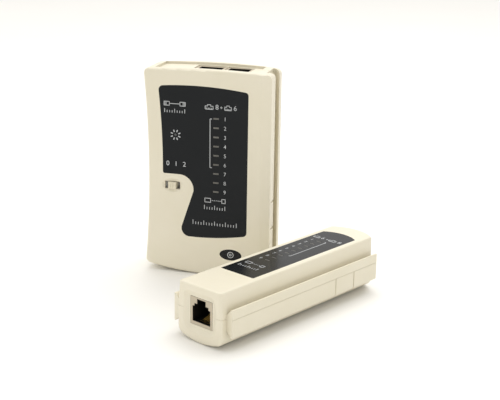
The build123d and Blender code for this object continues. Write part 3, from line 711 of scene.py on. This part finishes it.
class TESTER_OT_main_print(bpy.types.Operator):
    """Numbers, bracket and plain signs on the main unit's label"""

    bl_idname = "tester.main_print"
    bl_label = "Print of the main unit"

    def execute(self, context):
        ink = context.scene.tester_print
        parts = lamp_numbers(MAIN_NUMBER_X, MAIN_LAMP_TOP, -LAMP_PITCH, range(1, LAMPS + 1), ink)
        parts += bracket(MAIN_BRACKET_X, MAIN_BRACKET_ENDS, MAIN_ARM_X, MAIN_ARM, ink)
        parts += rays(*POWER_LAMP, *POWER_RAYS, ink)
        parts += plug_sign(*MAIN_PLUGS, ink)
        parts += socket_sign(1.4, SIGN_ROW_Y, *SOCKET_8_SIGN, ink)
        parts.append(figure("8", 5.4, SIGN_ROW_Y, ink.title_height, ink.thickness))
        parts += plus_sign(7.6, SIGN_ROW_Y, PLUS_SIZE, ink)
        parts += socket_sign(11.0, SIGN_ROW_Y, *SOCKET_6_SIGN, ink)
        parts.append(figure("6", 14.6, SIGN_ROW_Y, ink.title_height, ink.thickness))
        for text, x in SWITCH_FIGURES:
            parts.append(figure(text, x, SWITCH_FIGURES_Y, ink.title_height, ink.thickness))
        parts += unit_sign(*MAIN_LINKED_BOXES, ink)
        for place in MAIN_RULES:
            parts += rule(*place, ink)
        printed(parts, "main_label_print", main_frame(), "main_unit", ink)
        return {"FINISHED"}


class TESTER_OT_remote_print(bpy.types.Operator):
    """Numbers, bracket and plain signs on the remote unit's label"""

    bl_idname = "tester.remote_print"
    bl_label = "Print of the remote unit"

    def execute(self, context):
        ink = context.scene.tester_print
        parts = lamp_numbers(REMOTE_NUMBER_X, REMOTE_LAMP_NEAR, LAMP_PITCH, range(LAMPS, 0, -1), ink)
        parts += bracket(REMOTE_BRACKET_X, REMOTE_BRACKET_ENDS, REMOTE_ARM_X, REMOTE_ARM, ink)
        parts += unit_sign(*REMOTE_LINKED_BOXES, ink)
        parts += rule(*REMOTE_RULE, ink)
        parts += socket_sign(-6.6, REMOTE_SIGN_ROW_Y, *SOCKET_6_SIGN, ink)
        parts.append(figure("6", -3.0, REMOTE_SIGN_ROW_Y, ink.title_height, ink.thickness))
        parts += plus_sign(-0.4, REMOTE_SIGN_ROW_Y, PLUS_SIZE, ink)
        parts += socket_sign(3.0, REMOTE_SIGN_ROW_Y, *SOCKET_8_SIGN, ink)
        parts.append(figure("8", 7.0, REMOTE_SIGN_ROW_Y, ink.title_height, ink.thickness))
        printed(parts, "remote_label_print", remote_frame(), "remote_unit", ink)
        return {"FINISHED"}


# The sign on the badge, mm
BADGE_RING, BADGE_DOT, BADGE_LINE = 3.3, 1.3, 0.34


class TESTER_OT_badge_sign(bpy.types.Operator):
    """A plain ring and dot on the oval badge"""

    bl_idname = "tester.badge_sign"
    bl_label = "Sign on the badge"

    def execute(self, context):
        ink = context.scene.tester_print
        low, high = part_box("master_badge")
        middle = main_frame().inverted() @ ((low + high) / 2)
        x, y = middle.x / MM, middle.y / MM
        parts = [ring(x, y, BADGE_RING, BADGE_RING, BADGE_LINE, ink.thickness),
                 ring(x, y, BADGE_DOT, BADGE_DOT, BADGE_LINE, ink.thickness, corners=20)]
        printed(parts, "badge_sign", main_frame(), "main_unit", ink)
        return {"FINISHED"}


class TESTER_OT_lamps(bpy.types.Operator):
    """Diffusing lamps behind the windows, each with a ribbed lens"""

    bl_idname = "tester.lamps"
    bl_label = "Lamps and lenses"

    def execute(self, context):
        lens_plastic, *_ = plastic("Lamp lens", linear(110, 108, 101), linear(90, 88, 82), 0.3, bump=0.03,
                                   crease_shade_amount=0.3, coat=0.4)
        power_plastic, *_ = plastic("Power lamp lens", linear(96, 98, 98), linear(80, 82, 82), 0.3,
                                    bump=0.03, crease_shade_amount=0.1, coat=0.4)
        for node in ("master_leds", "remote_leds"):
            dress(NODES[node], lens_plastic)
        dress(NODES["power_led"], power_plastic)
        for name, unit, body, x, first, step in (
            ("main_lamp_lenses", main_frame(), "main_unit", MAIN_LAMP_X, MAIN_LAMP_TOP, -LAMP_PITCH),
            ("remote_lamp_lenses", remote_frame(), "remote_unit", REMOTE_LAMP_X, REMOTE_LAMP_NEAR,
             LAMP_PITCH),
        ):
            one = lamp_lens(x, first)
            lenses = [one] + [copied(one, (0, i * step * MM, 0)) for i in range(1, LAMPS)]
            settle(joined(lenses, name), unit, body, lens_plastic)
        return {"FINISHED"}


# One lens, mm
LENS_WIDE, LENS_TALL, LENS_THICK, LENS_RIB = 2.9, 0.85, 0.16, 0.08
LENS_BACK = 0.28                             # from the label's face down to the lens's back
LENS_COLUMNS = 11                            # five ribs and the six gaps beside them


def lamp_lens(x, y):
    """A thin lens that fills one window of the label, with ribs across it."""
    bpy.ops.mesh.primitive_grid_add(x_subdivisions=LENS_COLUMNS, y_subdivisions=1, size=1,
                                    location=(x * MM, y * MM, -LENS_BACK * MM))
    lens = fresh("lens")
    lens.scale = (LENS_WIDE * MM, LENS_TALL * MM, 1)
    applied(lens)
    bpy.ops.object.mode_set(mode="EDIT")
    bpy.ops.mesh.select_all(action="SELECT")
    bpy.ops.mesh.extrude_region_move(TRANSFORM_OT_translate={"value": (0, 0, LENS_THICK * MM)})

    def is_rib(middle, normal):
        column = int((middle.x / MM - x + LENS_WIDE / 2) / (LENS_WIDE / LENS_COLUMNS))
        return normal.z > 0.9 and column % 2 == 1

    pick_faces(lens, is_rib)
    bpy.ops.mesh.extrude_region_move(TRANSFORM_OT_translate={"value": (0, 0, LENS_RIB * MM)})
    bpy.ops.object.mode_set(mode="OBJECT")
    return outward(lens)


class TESTER_OT_switch(bpy.types.Operator):
    """Ribbed knob and plated frame of the slide switch"""

    bl_idname = "tester.switch"
    bl_label = "Slide switch"

    def execute(self, context):
        knob, *_ = plastic("Knob ivory", linear(236, 229, 206), linear(228, 220, 194), 0.38, grain=4200.0,
                           bump=0.04, crease_shade_amount=0.4, reach=0.0008)
        dress(NODES["switch_knob"], knob)
        dress(NODES["switch_housing"], plated_steel())
        return {"FINISHED"}


def plated_steel():
    """The steel of the switch's frame, the studs and the screws, made once."""
    if "Plated steel" in bpy.data.materials:
        return bpy.data.materials["Plated steel"]
    return metal("Plated steel", linear(196, 196, 194), linear(150, 146, 138), 0.3)


def contact_gold():
    """The gold of every contact, made once."""
    if "Contact gold" in bpy.data.materials:
        return bpy.data.materials["Contact gold"]
    return metal("Contact gold", linear(236, 196, 104), linear(204, 158, 76), 0.32, metallic=0.55)


MOUTH_SHADE_DEPTHS = (0.04 * MM, 0.1 * MM)           # depths between which painted shade turns a jack from beige to black


def jack_plastic(name, mouth, inward):
    """Grey-beige at the mouth, with painted shade turning it black further in."""
    material, tree, shader, place = plastic(name, linear(196, 184, 162), linear(186, 174, 152), 0.34,
                                            grain=3000.0, bump=0.04, crease_shade_amount=0.45, reach=0.002)
    rim = shader.inputs["Base Color"].links[0].from_socket
    # painted shade: black past the mouth's plane stands in for the shade inside the socket
    depth = tree.span(tree.along(place, mouth, inward), *MOUTH_SHADE_DEPTHS, 0.0, 1.0)
    tree.feed(shader, "Base Color", tree.mix(depth, rim, linear(20, 20, 21)))
    return material


class TESTER_OT_sockets(bpy.types.Operator):
    """Socket housings, with painted shade dark inside, and their gold contacts"""

    bl_idname = "tester.sockets"
    bl_label = "Sockets and contacts"

    def execute(self, context):
        along = remote_frame().col[1].to_3d()
        up = Vector((0, 0, 1))
        for node, out in (("master_rj45_jack", up), ("master_rj11_jack", up),
                          ("remote_rj11_jack", -along), ("remote_rj45_jack", along)):
            spots = [vertex.co for vertex in NODES[node].data.vertices]
            mouth = max(spots, key=out.dot)
            dress(NODES[node], jack_plastic("Socket plastic " + node.removesuffix("_jack"), mouth, -out))
        for node in ("master_rj45_contacts", "master_rj11_contacts", "remote_rj11_contacts",
                     "remote_rj45_contacts"):
            dress(NODES[node], contact_gold())
        return {"FINISHED"}


def board_material():
    """Green solder mask over copper tracks, with tinned pads."""
    material, tree, shader, place = new_material("Solder mask")
    skin = use(tree, moulded_group(), Vector=place, Grain_Scale=2600.0, Roughness=0.32)
    brick = tree.add("ShaderNodeTexBrick", inputs={"Vector": place, "Scale": 260.0, "Mortar Size": 0.05,
                                                   "Brick Width": 1.3, "Row Height": 0.6})
    pads = use(tree, speck_group(), Vector=place, Scale=390.0, Size=0.24, Share=0.35)
    green = tree.mix(skin["Shade"], linear(22, 92, 54), linear(18, 78, 46))
    tracked = tree.mix(brick.outputs["Fac"], green, linear(46, 128, 78))
    tree.feed(shader, "Base Color", tree.mix(pads["Mask"], tracked, linear(196, 194, 186)))
    tree.feed(shader, "Roughness", skin["Roughness"])
    tree.feed(shader, "Metallic", tree.maths("MULTIPLY", pads["Mask"], 0.9))
    tree.feed(shader, "Normal", tree.relief(brick.outputs["Fac"], 0.2, LINE_DEPTH))
    return material


def banded(name, base, bands, start, axis, pitch):
    """Lacquered body with colour bands along one axis; bands are placed in shares of pitch, from start."""
    material, tree, shader, place = plastic(name, base, tuple(c * 0.9 for c in base[:3]) + (1.0,), 0.3,
                                            bump=0.03, crease_shade_amount=0.1, coat=0.5)
    colour = shader.inputs["Base Color"].links[0].from_socket
    along = tree.along(place, start, axis)
    for at, width, band in bands:
        inside = tree.maths("COMPARE", along, at * pitch)
        inside.node.inputs[2].default_value = width * pitch / 2
        colour = tree.mix(inside, colour, band)
    tree.feed(shader, "Base Color", colour)
    return material


DIODE_LENGTH = 4.6 * MM


class TESTER_OT_boards(bpy.types.Operator):
    """Boards, chips, resistors and diodes"""

    bl_idname = "tester.boards"
    bl_label = "Boards and components"

    def execute(self, context):
        mask = board_material()
        dress(NODES["master_board"], mask)
        dress(NODES["remote_board"], mask)
        chip, *_ = plastic("Chip moulding", linear(38, 38, 40), linear(30, 30, 32), 0.5, grain=4800.0,
                           bump=0.1, crease_shade_amount=0.1)
        dress(NODES["master_chips"], chip)
        low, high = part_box("master_resistors")
        middle = (low + high) / 2
        length = high.x - low.x
        bands = ((-0.3, 0.09, linear(120, 70, 30)), (-0.12, 0.09, linear(20, 20, 20)),
                 (0.06, 0.09, linear(190, 40, 30)), (0.3, 0.09, linear(205, 165, 70)))
        dress(NODES["master_resistors"], banded("Resistor lacquer", linear(214, 186, 142), bands, middle,
                                                (1, 0, 0), length))
        low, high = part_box("remote_diodes")
        across = remote_frame().col[0].to_3d()
        dress(NODES["remote_diodes"], banded("Diode glass", linear(176, 84, 40),
                                             ((0.28, 0.16, linear(24, 22, 22)),), (low + high) / 2, across,
                                             DIODE_LENGTH))
        return {"FINISHED"}


class TESTER_OT_battery(bpy.types.Operator):
    """Block battery, its studs, snap connector and leads"""

    bl_idname = "tester.battery"
    bl_label = "Battery, connector and leads"

    def execute(self, context):
        low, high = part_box("battery")
        bands = ((-0.36, 0.24, linear(206, 206, 200)), (-0.2, 0.02, linear(206, 206, 200)))
        dress(NODES["battery"], banded("Battery jacket", linear(58, 84, 72), bands, (low + high) / 2,
                                       (1, 0, 0), high.x - low.x))
        dress(NODES["battery_studs"], plated_steel())
        soft, *_ = plastic("Connector vinyl", linear(32, 32, 34), linear(26, 26, 28), 0.55, bump=0.08,
                           crease_shade_amount=0.2)
        dress(NODES["battery_connector"], soft)
        red, *_ = plastic("Lead red", linear(186, 34, 28), linear(160, 26, 22), 0.42, bump=0.04, crease_shade_amount=0.2)
        black, *_ = plastic("Lead black", linear(34, 34, 36), linear(26, 26, 28), 0.42, bump=0.04, crease_shade_amount=0.2)
        dress(NODES["lead_positive"], red)
        dress(NODES["lead_negative"], black)
        return {"FINISHED"}


class TESTER_OT_screws(bpy.types.Operator):
    """Plated case screws"""

    bl_idname = "tester.screws"
    bl_label = "Case screws"

    def execute(self, context):
        dress(NODES["master_screws"], plated_steel())
        dress(NODES["remote_screws"], plated_steel())
        return {"FINISHED"}


# ---- stage ------------------------------------------------------------------
def view_matrix(wish):
    """The camera's place and turn, worked out from its yaw, pitch and roll."""
    a, b, c = wish.yaw, wish.pitch, wish.roll
    ahead = Vector((math.sin(a) * math.cos(b), math.cos(a) * math.cos(b), -math.sin(b)))
    right = Vector((math.cos(a), -math.sin(a), 0))
    up = right.cross(ahead)
    right, up = math.cos(c) * right + math.sin(c) * up, -math.sin(c) * right + math.cos(c) * up
    return placed(right, up, -ahead, Vector(wish.camera_at))


def soft_box(name, at, towards, size, power):
    """A square area light that faces a point."""
    bpy.ops.object.light_add(type="AREA", location=at)
    lamp = bpy.context.view_layer.objects.active
    lamp.name = name
    lamp.data.shape, lamp.data.size = "SQUARE", size
    lamp.data.energy = power
    lamp.rotation_euler = (Vector(towards) - Vector(at)).to_track_quat("-Z", "Y").to_euler()


def place_camera(wish):
    """The view of both units."""
    bpy.ops.object.select_all(action="DESELECT")
    bpy.ops.object.camera_add()
    camera = bpy.context.view_layer.objects.active
    camera.name = "camera"
    camera.data.lens, camera.data.sensor_width = wish.lens, 36.0
    camera.data.clip_start, camera.data.clip_end = 0.01, 100.0
    camera.matrix_world = view_matrix(wish)
    bpy.context.scene.camera = camera


def lay_floor(wish):
    """A pale floor, very slightly uneven in tone, level with the units' lowest point."""
    bpy.ops.mesh.primitive_plane_add(size=wish.floor_size, location=(0, 0, CAD_BOX[0].z))
    floor = fresh("floor")
    material, tree, shader, place = new_material("Studio floor")
    tone = tree.noise(place, 9.0, 2.0, 0.5)
    colour = tuple(wish.floor_colour)
    dim = tuple(c * 0.99 for c in colour[:3]) + (1.0,)
    tree.feed(shader, "Base Color", tree.mix(tree.span(tone, 0.3, 0.7, 0, 1), colour, dim))
    shader.inputs["Roughness"].default_value = 0.7
    dress(floor, material)


def light_room(wish):
    """A world that is brighter on one side than on the other."""
    world = bpy.data.worlds.new("studio")
    bpy.context.scene.world = world
    world.use_nodes = True
    tree = Tree(world.node_tree)
    ray = tree.add("ShaderNodeTexCoord").outputs["Generated"]
    lean = tree.lean(ray, wish.bright_side)
    sky = world.node_tree.nodes["Background"]
    sky.inputs["Color"].default_value = wish.room_tint
    tree.feed(sky, "Strength", tree.span(lean, -1.0, 1.0, wish.room_dark, wish.room_light))


class TESTER_OT_stage(bpy.types.Operator):
    """Camera, pale floor and soft studio light"""

    bl_idname = "tester.stage"
    bl_label = "Camera, lights and floor"

    def execute(self, context):
        wish = context.scene.tester_stage
        place_camera(wish)
        lay_floor(wish)
        soft_box("key_light", (0.05, 0.35, 1.1), (0, 0, 0.03), 0.9, wish.key_power)
        soft_box("fill_light", (0.5, -1.1, 0.5), (0, 0, 0.05), 0.8, wish.fill_power)
        light_room(wish)
        context.scene.view_settings.view_transform = "Standard"
        return {"FINISHED"}


class TESTER_PT_panel(bpy.types.Panel):
    """Lists the settings and the steps in order"""

    bl_idname = "TESTER_PT_panel"
    bl_label = "Cable Tester"
    bl_space_type = "VIEW_3D"
    bl_region_type = "UI"
    bl_category = "Cable Tester"

    def draw(self, context):
        for owner in ("tester_shell", "tester_print", "tester_stage"):
            group = getattr(context.scene, owner)
            for name in group.bl_rna.properties.keys():
                if name not in ("rna_type", "name"):
                    self.layout.prop(group, name)
        for step in STEPS:
            self.layout.operator(step.bl_idname)


SETTINGS = (TesterShellSettings, TesterPrintSettings, TesterStageSettings)
STEPS = (
    TESTER_OT_stage,
    TESTER_OT_shells,
    TESTER_OT_labels,
    TESTER_OT_main_print,
    TESTER_OT_remote_print,
    TESTER_OT_badge_sign,
    TESTER_OT_lamps,
    TESTER_OT_switch,
    TESTER_OT_sockets,
    TESTER_OT_boards,
    TESTER_OT_battery,
    TESTER_OT_screws,
)


def register():
    for part in (*SETTINGS, *STEPS, TESTER_PT_panel):
        bpy.utils.register_class(part)
    bpy.types.Scene.tester_shell = PointerProperty(type=TesterShellSettings)
    bpy.types.Scene.tester_print = PointerProperty(type=TesterPrintSettings)
    bpy.types.Scene.tester_stage = PointerProperty(type=TesterStageSettings)


def unregister():
    del bpy.types.Scene.tester_stage
    del bpy.types.Scene.tester_print
    del bpy.types.Scene.tester_shell
    for part in reversed((*SETTINGS, *STEPS, TESTER_PT_panel)):
        bpy.utils.unregister_class(part)


def main():
    register()
    for step in STEPS:
        group, name = step.bl_idname.split(".")
        getattr(getattr(bpy.ops, group), name)()


if __name__ == "__main__":
    main()
